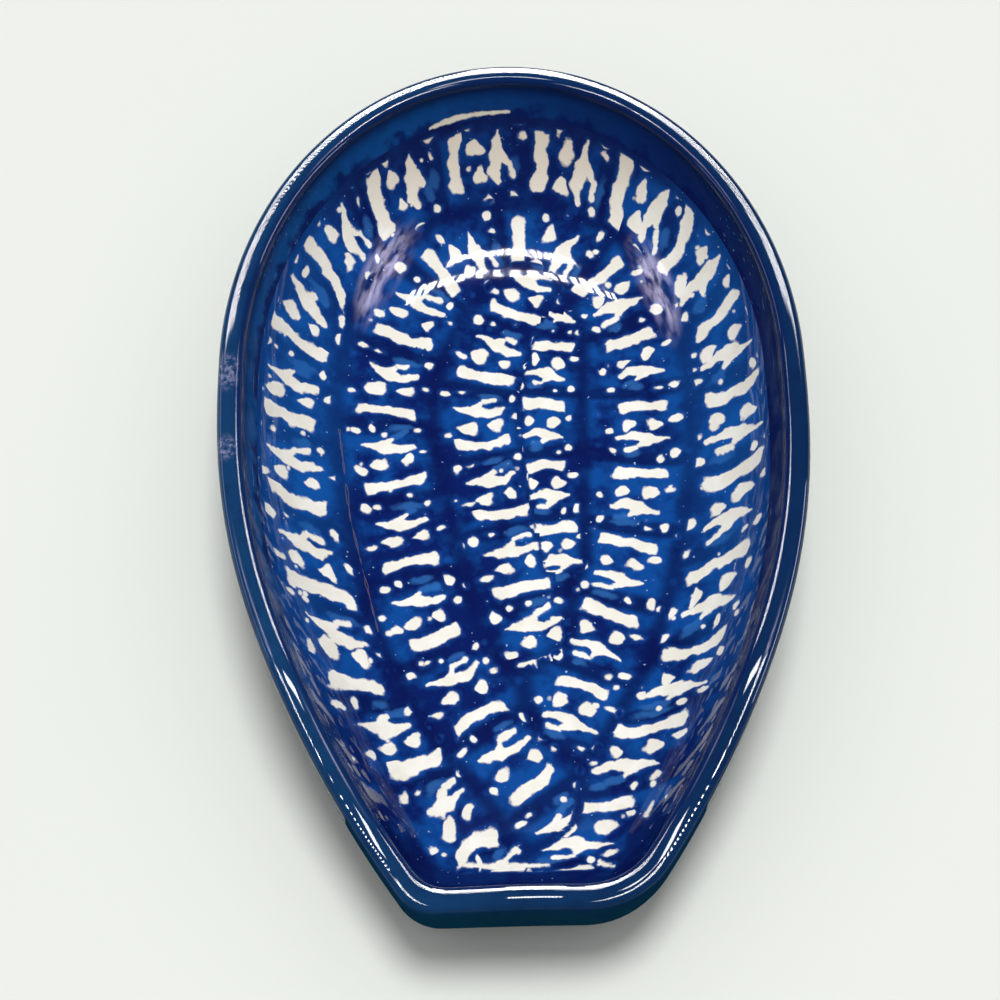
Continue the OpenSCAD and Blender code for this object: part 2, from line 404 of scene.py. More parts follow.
def half_outline(plan, radius):
    """The right half of a plan's outline, from the lip's middle to the far tip"""
    half_width, far, near, half_lip = plan[:4]
    along = Vector((math.sin(SIDE_ANGLE), math.cos(SIDE_ANGLE)))
    turn = math.pi / 2 - SIDE_ANGLE
    setback = radius * math.tan(turn / 2)
    corner = Vector((half_lip - setback, near))
    side = Vector((half_lip, near)) + setback * along
    wide = Vector((half_width, DISH_LENGTH / 2 - ROUND_LENGTH))
    lip_handle = side + LIP_PULL * (wide.x - side.x) / math.sin(SIDE_ANGLE) * along
    wide_handle = wide - Vector((0, WIDE_PULL * (wide.y - side.y)))
    lip_steps, corner_steps, side_steps, round_steps = OUTLINE_STEPS
    points = [Vector((0, near)).lerp(corner, i / lip_steps) for i in range(lip_steps)]
    for i in range(corner_steps):
        a = turn * i / corner_steps
        points.append(corner + radius * Vector((math.sin(a), 1 - math.cos(a))))
    for i in range(side_steps):
        t = i / side_steps
        s = 1 - t
        points.append(s**3 * side + 3 * s * s * t * lip_handle + 3 * s * t * t * wide_handle
                      + t**3 * wide)
    for i in range(round_steps + 1):
        a = math.pi / 2 * i / round_steps
        points.append(Vector((half_width * math.cos(a), wide.y + (far - wide.y) * math.sin(a))))
    return points


def outline(plan):
    right = half_outline(plan, plan[4])
    left = half_outline(plan, plan[5])
    return right + [Vector((-p.x, p.y)) for p in left[-2:0:-1]]


def smooth_step(t):
    t = min(1, max(0, t))
    return t * t * (3 - 2 * t)


def crown_level(p):
    """The height at which the crown begins. It comes down to the lip, which has a soft
    hump in its middle."""
    from_lip = (p.y + DISH_LENGTH / 2) / DIP_LENGTH
    t = min(1, max(0, (from_lip - DIP_LEVEL) / (1 - DIP_LEVEL)))
    down = LIP_DIP * (1 - smooth_step(t))
    beside_middle = min(1, abs(p.x) / (0.5 * LIP_WIDTH))
    up = 0
    if from_lip < 1:
        up = LIP_HUMP * (1 - t) * math.cos(math.pi / 2 * beside_middle) ** 2
    return DISH_HEIGHT - CROWN_HEIGHT - down + up


def moved(plan, moves, corner):
    return [size + move for size, move in zip(plan, moves)] + [corner, corner]


RIM_PLAN = [DISH_WIDTH / 2, DISH_LENGTH / 2, -DISH_LENGTH / 2, LIP_WIDTH / 2, *LIP_CORNERS]
INNER_PLAN = inset(RIM_PLAN, RIM_THICKNESS)
FLOOR_PLAN = moved(INNER_PLAN, FLOOR_MOVES, FLOOR_CORNER)
# The rings of the floor close in on a line in its middle
CORE_PLAN = [0, 17.5, -48.0, 0, 0, 0]
FOOT_PLAN = moved(RIM_PLAN, FOOT_MOVES, FOOT_CORNER)
FOOT_INNER_PLAN = inset(FOOT_PLAN, FOOT_WIDTH)
CROWN_LEVELS = [crown_level(p) for p in outline(RIM_PLAN)]
WELL_DEPTH = DISH_HEIGHT - CROWN_HEIGHT - FLOOR_HEIGHT
BAND_ANGLE = math.asin(math.sin(WALL_START)
                       + (1 - math.sin(WALL_START)) * BAND_DEPTH / WELL_DEPTH)


def ring(plan, share, low, up):
    """A ring of points, share of the way down from the crown to the height low"""
    return [Vector((p.x, p.y, level + (low - level) * share + up))
            for p, level in zip(outline(plan), CROWN_LEVELS)]


def flat_ring(plan, z):
    return ring(plan, 1, z, 0)


def outside_ring(a, under):
    """A ring of the outer wall, from the foot at a quarter turn to the rim at 0. Like the
    rings below, it lies under the finished surface by a distance."""
    plan = mixed(RIM_PLAN, FOOT_PLAN, 1 - math.cos(a))
    return ring(inset(plan, under * math.cos(a)), math.sin(a), FOOT_HEIGHT, under * math.sin(a))


def cornered(plan, share):
    """A plan with its corners part of the way to the floor's"""
    return plan[:4] + [r + (FLOOR_CORNER - r) * share for r in plan[4:]]


def blunted(x):
    return math.copysign(abs(x) ** (2 / CROWN_POWER), x)


def crown_ring(a, under):
    """A ring of the rim's crown, from its outer edge at 0 over to its inner edge"""
    half = RIM_THICKNESS / 2
    inward = half - (half - under) * blunted(math.cos(a))
    plan = cornered(inset(RIM_PLAN, inward), CROWN_CORNER * inward / RIM_THICKNESS)
    return ring(plan, 0, 0, (CROWN_HEIGHT - under) * blunted(math.sin(a)))


def well_ring(a, under):
    """A ring of the well's wall, from the crown down to the floor at a quarter turn"""
    start = cornered(INNER_PLAN, CROWN_CORNER)
    plan = mixed(start, FLOOR_PLAN, 1 - math.cos(a) / math.cos(WALL_START))
    down = (math.sin(a) - math.sin(WALL_START)) / (1 - math.sin(WALL_START))
    return ring(inset(plan, -under * math.cos(a)), down, FLOOR_HEIGHT, -under * math.sin(a))


def between(first, last, steps, close_to_first=False, close_to_last=False):
    """Steps from first to last, with an extra one close beside an end where the next
    piece goes on, so that the two are shaded alike there"""
    values = [first + (last - first) * i / steps for i in range(steps + 1)]
    close = CLOSE_STEP * (last - first) / steps
    if close_to_first:
        values.insert(1, first + close)
    if close_to_last:
        values.insert(-1, last - close)
    return values


def outside_rings(under):
    return [outside_ring(a, under) for a in between(math.pi / 2, 0, OUTSIDE_STEPS)]


def crown_rings(under):
    return [crown_ring(a, under) for a in between(0, math.pi, CROWN_STEPS)[1:]]


def band_rings(under):
    angles = between(WALL_START, BAND_ANGLE, BAND_STEPS, close_to_last=True)
    return [well_ring(a, under) for a in angles[1:]]


def well_rings(under):
    angles = between(BAND_ANGLE, math.pi / 2, WALL_STEPS, close_to_first=True)
    rings = [well_ring(a, under) for a in angles]
    for share in between(0, 1, FLOOR_STEPS)[1:]:
        rings.append(ring(mixed(FLOOR_PLAN, CORE_PLAN, share), 1, FLOOR_HEIGHT, -under))
    return rings


def loft(bm, rings):
    """A tube of faces through rings of points. It gives back each ring's vertices."""
    made = [bmesh.ops.create_circle(bm, radius=1, segments=len(rings[0]))["verts"]]
    for _ in rings[1:]:
        last = made[-1]
        grown = bmesh.ops.extrude_edge_only(bm, edges=ring_edges(bm, last))["geom"]
        new = {v for v in grown if isinstance(v, bmesh.types.BMVert)}
        made.append([next(e.other_vert(v) for e in v.link_edges if e.other_vert(v) in new)
                     for v in last])
    for verts, points in zip(made, rings):
        for vert, point in zip(verts, points):
            vert.co = point
    return made


def ring_edges(bm, verts):
    return [bm.edges.get((verts[i - 1], verts[i])) for i in range(len(verts))]


def crease(bm, *rings):
    """Keeps the shading of the faces on the two sides of a ring apart"""
    for verts in rings:
        for edge in ring_edges(bm, verts):
            edge.smooth = False


def cap(bm, verts):
    bmesh.ops.edgeloop_fill(bm, edges=ring_edges(bm, verts))


def pinch(bm, verts):
    """Joins a ring whose two sides lie on one line"""
    bmesh.ops.remove_doubles(bm, verts=verts, dist=0.01)


clay, tree, shader = new_material("fired_clay")
place = add(tree, "TexCoord").outputs["Object"]
tone = blend(tree, noise_at(tree, place, 110.0, 3.0), CLAY_BUFF, CLAY_PALE)
specks = rise(tree, noise_at(tree, place, 1300.0, 1.0), 0.68, 0.74)
wire(tree, blend(tree, specks, tone, CLAY_SPECK), shader.inputs["Base Color"])
shader.inputs["Roughness"].default_value = 0.85
grain = noise_at(tree, place, 2600.0, 3.0, 0.6)
bump = add(tree, "Bump", in_Strength=0.5, in_Distance=0.0001, in_Height=grain)
wire(tree, bump.outputs[0], shader.inputs["Normal"])

bm = bmesh.new()
foot = [
    flat_ring(FOOT_INNER_PLAN, FOOT_HEIGHT),
    flat_ring(FOOT_INNER_PLAN, FOOT_BEVEL),
    flat_ring(inset(FOOT_INNER_PLAN, -BEVEL_ROUND), BEVEL_ROUND),
    flat_ring(inset(FOOT_INNER_PLAN, -FOOT_BEVEL), 0),
    flat_ring(inset(FOOT_PLAN, FOOT_BEVEL), 0),
    flat_ring(inset(FOOT_PLAN, BEVEL_ROUND), BEVEL_ROUND),
    flat_ring(FOOT_PLAN, FOOT_BEVEL),
]
rings = loft(bm, foot + outside_rings(GLAZE) + crown_rings(GLAZE) + band_rings(GLAZE)
             + well_rings(GLAZE)[1:])
crease(bm, rings[0], rings[len(foot)])
cap(bm, rings[0])
pinch(bm, rings[-1])
bmesh.ops.recalc_face_normals(bm, faces=bm.faces)
body = put_object("stoneware_dish", bm, clay)
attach(body, "root")
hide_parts("stoneware_body")


# The plain cobalt glaze: dipped over the rim and brushed down the outside to the foot.
# It is thinner and more green over the outside, and pools to a deeper blue inside. Only
# the crown of the rim has kept its full gloss.
OUTSIDE_BLUES = srgb(8, 44, 60), srgb(14, 58, 84)
# The crown's and the band's left blues are painted light, and their right blues painted shade
CROWN_LEFT_LIT_BLUES = srgb(18, 52, 94), srgb(26, 70, 116)
CROWN_RIGHT_SHADED_BLUES = srgb(12, 38, 78), srgb(18, 52, 96)
BAND_LEFT_LIT_BLUES = srgb(14, 66, 130), srgb(22, 84, 150)
BAND_RIGHT_SHADED_BLUES = srgb(12, 30, 86), srgb(16, 46, 108)
POOLED_BLUE = srgb(12, 34, 92)
MOTTLE_BLUE = srgb(14, 36, 78)
STAMPED_GROUND_BLUE = srgb(12, 24, 84)
SCRATCH_GLINT_BLUE = srgb(120, 150, 196)
FROST_GREY = srgb(176, 172, 206)
SLIP_WHITE = srgb(222, 216, 198)
# Each finish of the coat: its IOR and its specular level
FULL_GLOSS = (1.42, 0.5)
THIN_GLOSS = (1.3, 0.12)
RUBBED_GLOSS = (1.3, 0.0)
# In front of this, spoons have rubbed the outer face and the band dull
RUBBED_FRONT = -0.058


def laid_over(tree, base, colour, share, strength):
    """A colour laid over another as strongly as strength, where share is 1"""
    return blend(tree, product(tree, share, strength), base, colour)


def new_group(name, inputs, outputs):
    """A node group with its sockets, and the sockets that stand for them inside it"""
    group = bpy.data.node_groups.new(name, "ShaderNodeTree")
    for direction, sockets in (("INPUT", inputs), ("OUTPUT", outputs)):
        for socket, kind in sockets.items():
            group.interface.new_socket(socket, in_out=direction, socket_type="NodeSocket" + kind)
    given = group.nodes.new("NodeGroupInput").outputs
    result = group.nodes.new("NodeGroupOutput").inputs
    return group, given, result


def glazed(name, group, gloss, bump_strength):
    """A glaze with the looks of a node group, and a gloss of its own. Apart from its place,
    the group's inputs are attributes of the mesh."""
    material, tree, shader = new_material(name)
    look = add(tree, "Group", node_tree=group)
    for socket in look.inputs:
        if socket.name == "Place":
            given = add(tree, "TexCoord").outputs["Object"]
        else:
            attribute = add(tree, "Attribute", attribute_name=socket.name.lower())
            given = attribute.outputs["Vector" if socket.type == "VECTOR" else "Fac"]
        wire(tree, given, socket)
    wire(tree, look.outputs["Color"], shader.inputs["Base Color"])
    shader.inputs["IOR"].default_value, shader.inputs["Specular IOR Level"].default_value = gloss
    bump = add(tree, "Bump", in_Strength=bump_strength, in_Distance=0.0004,
               in_Height=look.outputs["Height"])
    wire(tree, bump.outputs[0], shader.inputs["Normal"])
    return material, tree, shader, look


def film(bm, finished, clay_rings, closed):
    """A closed skin between the finished surface and the clay under it. It gives back the
    vertices of the finished surface's rings."""
    made = loft(bm, clay_rings[::-1] + finished)
    count = len(clay_rings)
    crease(bm, made[count - 1], made[count])
    if closed:
        pinch(bm, made[0])
    else:
        crease(bm, made[0], made[-1])
        bmesh.ops.bridge_loops(bm, edges=ring_edges(bm, made[0]) + ring_edges(bm, made[-1]))
    bmesh.ops.recalc_face_normals(bm, faces=bm.faces)
    return made[count:]


def spot(tree, local, x, y, wide, tall, taper=0.0):
    """Distance to a drop that narrows towards the rim"""
    spread = add(tree, "SeparateXYZ", in_0=local)
    dx = calc(tree, "SUBTRACT", spread.outputs[0], x)
    q = calc(tree, "DIVIDE", calc(tree, "SUBTRACT", spread.outputs[1], y), tall)
    if taper:
        narrow = calc(tree, "MAXIMUM", calc(tree, "MULTIPLY_ADD", q, -taper, 1.0), 0.2)
        dx = calc(tree, "DIVIDE", dx, narrow)
    r = calc(tree, "SQRT", calc(tree, "MULTIPLY_ADD", q, q,
                                calc(tree, "POWER", calc(tree, "DIVIDE", dx, wide), 2.0)))
    return calc(tree, "MULTIPLY", calc(tree, "SUBTRACT", r, 1.0), wide)


def limb(tree, local, x0, y0, r0, x1, y1, r1):
    """Distance to a limb that tapers from one round end to another"""
    def vector(operation, one, other):
        return add(tree, "VectorMath", operation=operation, in_0=one, in_1=other).outputs

    first = add(tree, "CombineXYZ", in_X=x0, in_Y=y0).outputs[0]
    last = add(tree, "CombineXYZ", in_X=x1, in_Y=y1).outputs[0]
    reach = vector("SUBTRACT", last, first)[0]
    away = vector("SUBTRACT", local, first)[0]
    share = calc(tree, "DIVIDE", vector("DOT_PRODUCT", away, reach)["Value"],
                 vector("DOT_PRODUCT", reach, reach)["Value"], clamp=True)
    nearest = add(tree, "VectorMath", operation="SCALE", in_0=reach, in_Scale=share).outputs[0]
    return calc(tree, "SUBTRACT", vector("DISTANCE", away, nearest)["Value"],
                calc(tree, "MULTIPLY_ADD", share, r1 - r0, r0))


def joined(tree, *shapes, melt=0.0):
    """Distance to the nearest of some shapes, which may melt into each other"""
    whole = shapes[0]
    for shape in shapes[1:]:
        whole = (calc(tree, "SMOOTH_MIN", whole, shape, melt) if melt
                 else calc(tree, "MINIMUM", whole, shape))
    return whole


def flat_place(tree, place, *axes):
    """Two of a place's coordinates, in millimetres"""
    scaled = add(tree, "VectorMath", operation="SCALE", in_0=place, in_Scale=1000.0).outputs[0]
    apart = add(tree, "SeparateXYZ", in_0=scaled).outputs
    return add(tree, "CombineXYZ", in_X=apart[axes[0]], in_Y=apart[axes[1]]).outputs[0]


coat, given, result = new_group("cobalt_coat", {"Place": "Vector", "Way": "Float"},
                                {"Color": "Color", "Roughness": "Float", "Height": "Float"})
place, way = given["Place"], given["Way"]
x, y, z = add(coat, "SeparateXYZ", in_0=place).outputs
cloud = noise_at(coat, place, 60.0, 3.0)
# Painted light and shade: the crown and the band are lighter on the left and darker on the right
side = rise(coat, x, -0.035, 0.035)
outer, crown_lit_left, crown_shaded_right, band_lit_left, band_shaded_right = [
    blend(coat, cloud, *blues) for blues in (OUTSIDE_BLUES, CROWN_LEFT_LIT_BLUES, CROWN_RIGHT_SHADED_BLUES,
                                             BAND_LEFT_LIT_BLUES, BAND_RIGHT_SHADED_BLUES)]
crown = blend(coat, side, crown_lit_left, crown_shaded_right)
crown = laid_over(coat, crown, POOLED_BLUE, rise(coat, way, 1.5, 1.75), 0.7)
blue = blend(coat, rise(coat, way, 0.85, 1.3), outer, crown)
blue = blend(coat, rise(coat, way, 1.95, 2.4), blue, blend(coat, side, band_lit_left, band_shaded_right))
mottle = rise(coat, noise_at(coat, place, 260.0, 4.0, 0.6), 0.45, 0.75)
blue = laid_over(coat, blue, MOTTLE_BLUE, mottle, 0.45)
# The dark ground of the stamping runs unevenly into the plain band
run_in = calc(coat, "MULTIPLY_ADD", noise_at(coat, place, 170.0, 3.0, 0.6), 1.8, way)
blue = laid_over(coat, blue, STAMPED_GROUND_BLUE, rise(coat, run_in, 3.45, 3.75), 0.85)
# Fine scratches run along the inner wall, and their pale colour is a painted glint of light on them
drawn = add(coat, "CombineXYZ", in_X=product(coat, x, 2600.0), in_Y=product(coat, y, 70.0),
            in_Z=product(coat, z, 2600.0)).outputs[0]
inside = rise(coat, way, 1.75, 1.95)
scratch_glints = product(coat, rise(coat, noise_at(coat, drawn, 1.0, 1.0), 0.66, 0.74), inside,
                    rise(coat, calc(coat, "ABSOLUTE", x), 0.028, 0.034),
                    rise(coat, cloud, 0.42, 0.58))
blue = laid_over(coat, blue, SCRATCH_GLINT_BLUE, scratch_glints, 0.5)
# Spoons have frosted two places on the left of the rim
seen_above = flat_place(coat, place, 0, 1)
frosted = joined(coat, spot(coat, seen_above, -43.0, 12.0, 2.0, 3.6),
                 spot(coat, seen_above, -42.6, -1.5, 1.7, 2.4))
frosted = product(coat, rise(coat, frosted, 0.3, -1.2),
                  rise(coat, noise_at(coat, place, 1400.0, 3.0, 0.7), 0.42, 0.66),
                  rise(coat, way, 0.93, 1.03))
blue = laid_over(coat, blue, FROST_GREY, frosted, 0.5)
# A streak of white slip lies at the round end
seen_ahead = flat_place(coat, place, 0, 2)
streak = joined(coat, limb(coat, seen_ahead, -12.4, 16.8, 0.18, -8.5, 17.1, 0.36),
                limb(coat, seen_ahead, -8.5, 17.1, 0.36, 0.8, 17.2, 0.16))
streak = calc(coat, "MULTIPLY_ADD", noise_at(coat, place, 900.0), 0.5,
              calc(coat, "SUBTRACT", streak, 0.25))
streak = product(coat, rise(coat, streak, 0.12, -0.12), inside, rise(coat, y, 0.05, 0.052))
wire(coat, blend(coat, streak, blue, SLIP_WHITE), result["Color"])
# The inner wall is waved by the brush, so what it mirrors is blurred there, and the
# outside is satin
wavy = product(coat, rise(coat, way, 1.86, 2.04), noise_at(coat, place, 500.0, 3.0))
satin = calc(coat, "MULTIPLY_ADD", rise(coat, way, 0.99, 0.9), 0.3, 0.01)
wire(coat, calc(coat, "MULTIPLY_ADD", wavy, 0.24, satin), result["Roughness"])
wire(coat, noise_at(coat, place, 90.0, 0.0), result["Height"])

cobalts = []
for name, gloss in (("cobalt_glaze", FULL_GLOSS), ("thin_cobalt_glaze", THIN_GLOSS),
                    ("rubbed_cobalt_glaze", RUBBED_GLOSS)):
    material, tree, shader, look = glazed(name, coat, gloss, 0.12)
    wire(tree, look.outputs["Roughness"], shader.inputs["Roughness"])
    cobalts.append(material)

outside = outside_rings(0)
crown_part = crown_rings(0)
band = band_rings(0)
bm = bmesh.new()
way_layer = bm.verts.layers.float.new("way")
rings = film(bm, outside + crown_part + band,
             outside_rings(GLAZE) + crown_rings(GLAZE) + band_rings(GLAZE), closed=False)
# How far over the rim a point lies: 0 to 1 outside, to 2 over the crown, to 3 inside
ways = [k / (len(outside) - 1) for k in range(len(outside))]
ways += [1 + (k + 1) / len(crown_part) for k in range(len(crown_part))]
ways += [2 + (k + 1) / len(band) for k in range(len(band))]
for verts, value in zip(rings, ways):
    for vert in verts:
        vert[way_layer] = value
plain_glaze = put_object("plain_cobalt_coat", bm, *cobalts)
# Away from the crown of the rim the coat is thin and less glossy
way_there = plain_glaze.data.attributes["way"].data
for face in plain_glaze.data.polygons:
    values = [way_there[v].value for v in face.vertices]
    if max(values) <= 1.2 or min(values) >= 2.0:
        face.material_index = 2 if face.center.y < RUBBED_FRONT else 1
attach(plain_glaze, "root")
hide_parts("outside_glaze")

# The spokes and the low boxes show in this glaze alone
rim_alone = bpy.data.collections.new("rim")
rim_alone.objects.link(plain_glaze)
for light in [screen, *low_boxes]:
    light.light_linking.receiver_collection = rim_alone


# The stamped glaze of the well: a cobalt ground in which bars, forked darts, drops and
# dots are left white. One stamp after another was set along strips that follow the rim,
# and the strips end side by side at the lip.
STAMP_PITCH = 14.65
# How far the first strip's middle lies from the band, and how much further at the lip, the
# length at which its first stamp stands, and how much larger its stamps are
FIRST_IN = 6.7
FIRST_IN_AT_LIP = 7.8
FIRST_START = 12.5
FIRST_SIZE = 1.15
# Its two ends beside the lip: a point on each one's middle, how far out it runs for each
# millimetre along, the space from one stamp to the next, and how much further away than
# they are its points count when the strips share out the well
RIGHT_END = (11.3, -52.3)
RIGHT_LEAN = 0.64
RIGHT_SPACE = 11.55
LEFT_END = (-6.9, -57.3)
LEFT_LEAN = -0.72
LEFT_SPACE = 11.65
END_PITCH = 11.5
END_FAR = 1.08
# The left end's stamps are counted back from this
END_COUNT = 19
# The middles of the second strip and of the two on the floor, in the order of stamping,
# and the lengths along the second one at which its spacing changes
SECOND_STRIP = [(7, -39), (11, -29), (15, -18), (18.3, -4), (20.6, 10), (20.3, 24), (15, 39),
                (1.5, 46), (-11.5, 40), (-17.5, 28), (-20, 15), (-18.5, 2), (-16, -12),
                (-12.5, -25), (-6, -38), (1.5, -49), (5, -54)]
# The number of its corner at the top, where it turns back
SECOND_TOP = 7
SECOND_LENGTHS = (18.7, 81.2, 96.5, 206.9)
SECOND_UNITS = (0, 5, 6, 14)
SECOND_PITCHES = (12.5, 13.9)
SECOND_LAST_SPACE = 13.8
LEFT_FLOOR_STRIP = [(4, 40), (0, 31), (-4.5, 20), (-4.8, 10), (-2.3, -2), (0.6, -16), (3, -25)]
RIGHT_FLOOR_STRIP = [(7, -13), (5.6, -3), (5.0, 10), (5.4, 20), (7.5, 31)]
# The stamps of the second and the left floor strip are smaller by this
SMALLER = 1.07
# In front of this the first strip's two ends count as strips of their own
LIP_STRIPS_FRONT = -45
# The strips' parts: the first with its two ends, the second's two halves, the floor's two
STRIP_NUMBERS = (0, 0, 0, 1, 1, 2, 3)
CURVE_STEPS = 14

GROUND_DEEP = srgb(13, 32, 98)
GROUND_LIGHT = srgb(18, 76, 154)
GROUND_DOUBLE = srgb(12, 22, 80)
FAINT_BLUE = srgb(58, 124, 202)
BLEED_BLUE = srgb(28, 86, 174)
WALL_BLUE = srgb(28, 104, 190)
# Painted shade for the steep wall of the round end, on its ground and its bare white
FAR_WALL_SHADE_BLUE = srgb(14, 30, 78)
SPECK_BLUE = srgb(150, 178, 214)
CREAM = srgb(244, 240, 228)
WHITE = srgb(252, 250, 242)
FAR_WALL_SHADE_CREAM = srgb(224, 214, 198)
HAIRLINE_GREY = srgb(120, 112, 112)
# Its IOR and its specular level, and the same where spoons have rubbed the wall at the lip
WELL_GLOSS = (1.5, 0.5)
RUBBED_WELL_GLOSS = (1.5, 0.0)
RUBBED_WELL_FRONT = -0.0568


def smooth_line(corners):
    """A curve through all its corners"""
    p = np.array(corners, float)
    p = np.vstack([2 * p[0] - p[1], p, 2 * p[-1] - p[-2]])
    points = []
    for a, b, c, d in zip(p, p[1:], p[2:], p[3:]):
        for t in np.arange(CURVE_STEPS) / CURVE_STEPS:
            points.append(0.5 * (2 * b + (c - a) * t + (2 * a - 5 * b + 4 * c - d) * t * t
                                 + (3 * b - a - 3 * c + d) * t ** 3))
    return np.array(points + [p[-2]])


def beside(x, y, corners):
    """Where points lie beside a curve: the length along it, the distance out from it,
    how many times as long as on the curve a stretch is there, and the distance from it"""
    line = smooth_line(corners)
    step = np.gradient(line, axis=0)
    size = np.linalg.norm(step, axis=1)
    ahead = step / size[:, None]
    lengths = np.cumsum(np.linalg.norm(np.diff(line, axis=0, prepend=line[:1]), axis=1))
    turning = np.gradient(np.unwrap(np.arctan2(ahead[:, 1], ahead[:, 0]))) / size
    away = np.stack([x, y], axis=-1)[..., None, :] - line
    k = (away ** 2).sum(-1).argmin(-1)
    off = np.take_along_axis(away, k[..., None, None], axis=-2)[..., 0, :]
    along = (off * ahead[k]).sum(-1)
    out = off[..., 0] * ahead[k, 1] - off[..., 1] * ahead[k, 0]
    wider = np.clip(1 + turning[k] * out, 0.5, 1.6)
    past = ((k == 0) & (along < 0)) | ((k == len(line) - 1) & (along > 0))
    distance = np.hypot(np.where(past, 1.6 * along, 0), out)
    return lengths[k] + along / wider, out, wider, distance


def soft(t):
    """The smooth step from 0 to 1, for an array"""
    t = np.clip(t, 0, 1)
    return t * t * (3 - 2 * t)


def stamp_well(bm, rings):
    """Gives each corner of the well's faces its place in the stamping: the number of the
    stamp with 100 for each strip, the distance out from the strip's middle and the length
    of one stamp there, and how far a stamp slips out for each millimetre along where a
    strip runs aslant. Each point also gets its distance from the edge of its strip."""
    stamp_layer = bm.loops.layers.float_vector["stamp"]
    slip_layer = bm.loops.layers.float["slip"]
    edge_layer = bm.verts.layers.float["edge"]
    place = np.array([[v.co[:] for v in ring] for ring in rings])
    steps = np.linalg.norm(np.diff(place, axis=0, prepend=place[:1]), axis=2)
    depth = np.cumsum(steps, axis=0)
    start = place[0]
    x, y = place[..., 0], place[..., 1]
    count = place.shape[1]
    right = np.arange(count) < count / 2

    # The first strip follows the rim
    centre = FIRST_IN + FIRST_IN_AT_LIP * soft((12 - start[:, 1]) / 62)
    middle = np.array([[np.interp(centre[i], depth[:, i], place[:, i, n]) for n in range(3)]
                       for i in range(count)])
    gaps = np.linalg.norm(np.roll(middle, -1, axis=0) - middle, axis=1)
    lengths = np.concatenate([[0], np.cumsum(gaps)[:-1]])
    spread = np.linalg.norm(np.roll(place, -1, axis=1) - place, axis=2) / gaps
    first = [(lengths - FIRST_START) / STAMP_PITCH, (centre - depth) / FIRST_SIZE,
             STAMP_PITCH * spread / FIRST_SIZE, abs(centre - depth)]
    # Beside the lip its two ends run straight down, and the stamps lie nearly level
    right_out = x - (RIGHT_END[0] + RIGHT_LEAN * (y - RIGHT_END[1]))
    left_out = LEFT_END[0] + LEFT_LEAN * (y - LEFT_END[1]) - x
    level = np.full(x.shape, END_PITCH)
    right_end = [(y - 0.11 * right_out - RIGHT_END[1]) / RIGHT_SPACE, right_out, level,
                 abs(right_out) * END_FAR]
    slant = 0.16 + 0.34 * soft((-34 - y) / 24)
    left_end = [END_COUNT - (y + slant * left_out - LEFT_END[1]) / LEFT_SPACE, left_out, level,
                abs(left_out) * END_FAR]
    low = soft((-26 - y) / 12)
    first = [a + low * (np.where(right, b, c) - a)
             for a, b, c in zip(first, right_end, left_end)]
    slips = (np.where(right, RIGHT_LEAN, LEFT_LEAN) * low, RIGHT_LEAN * low, LEFT_LEAN * low)

    # The second strip runs up the right side and comes back down the left
    def second(corners, passed):
        length, out, wider, distance = beside(x, y, corners)
        length = length + passed
        unit = np.interp(length, SECOND_LENGTHS, SECOND_UNITS)
        unit += np.minimum(0, length - SECOND_LENGTHS[0]) / SECOND_PITCHES[0]
        unit += np.maximum(0, length - SECOND_LENGTHS[-1]) / SECOND_LAST_SPACE
        pitch = wider * np.where(length < SECOND_LENGTHS[1], *SECOND_PITCHES)
        return [unit, SMALLER * out, SMALLER * pitch, distance]

    line = smooth_line(SECOND_STRIP)[:CURVE_STEPS * (SECOND_TOP - 2) + 1]
    passed = np.linalg.norm(np.diff(line, axis=0), axis=1).sum()
    going_up = second(SECOND_STRIP[:SECOND_TOP + 3], 0)
    coming_down = second(SECOND_STRIP[SECOND_TOP - 2:], passed)
    # The two strips on the floor
    length, out, wider, distance = beside(x, y, LEFT_FLOOR_STRIP)
    third = [0.42 + length / 12.9, SMALLER * out, 13.8 * wider, distance]
    length, out, wider, distance = beside(x, y, RIGHT_FLOOR_STRIP)
    fourth = [0.45 + length / 11.4, out / 0.7, 12.4 * wider, distance / 0.64]

    strips = np.array([first, right_end, left_end, going_up, coming_down, third, fourth])
    above, below = [0, 3, 4, 5, 6], [1, 2, 3, 4, 5, 6]
    away = strips[:, 3]

    def to_edge(use):
        """Half the difference between the two nearest strips. Round the top the second
        strip's two halves are one."""
        apart = [away[n] for n in use if n not in (3, 4)]
        halves = np.sort(away[3:5], axis=0)
        apart += [halves[0], np.where(y < 10, halves[1], 99)]
        nearest, next_one = np.sort(apart, axis=0)[:2]
        # The two on the floor run into each other
        on_floor = np.maximum(away[5], away[6]) <= next_one + 0.001
        return (next_one - nearest) / 2 + 0.5 * on_floor

    edge = np.where(y > LIP_STRIPS_FRONT, to_edge(above), to_edge(below))
    # A bare margin lies along the rim, and is wider at the lip
    margin = 0.5 + 5.2 * soft((-50 - start[:, 1]) / 8) + 1.6 * soft((-15 - start[:, 1]) / 25)
    edge = np.minimum(edge, depth - margin)
    for ring, values in zip(rings, edge):
        for vert, value in zip(ring, values):
            vert[edge_layer] = value

    where = {v: (k, i) for k, ring in enumerate(rings) for i, v in enumerate(ring)}
    for k in range(len(rings) - 1):
        for i in range(count):
            j = (i + 1) % count
            face = next(f for f in rings[k][i].link_faces
                        if rings[k][j] in f.verts and rings[k + 1][i] in f.verts)
            use = above if y[k:k + 2, [i, j]].mean() > LIP_STRIPS_FRONT else below
            n = min(use, key=lambda s: away[s, k:k + 2, [i, j]].sum())
            for corner in face.loops:
                unit, out, pitch, _ = strips[(n, slice(None), *where[corner.vert])]
                corner[stamp_layer] = (unit + 100 * STRIP_NUMBERS[n] + 10, out, pitch)
                corner[slip_layer] = slips[n][where[corner.vert]] if n < 3 else 0


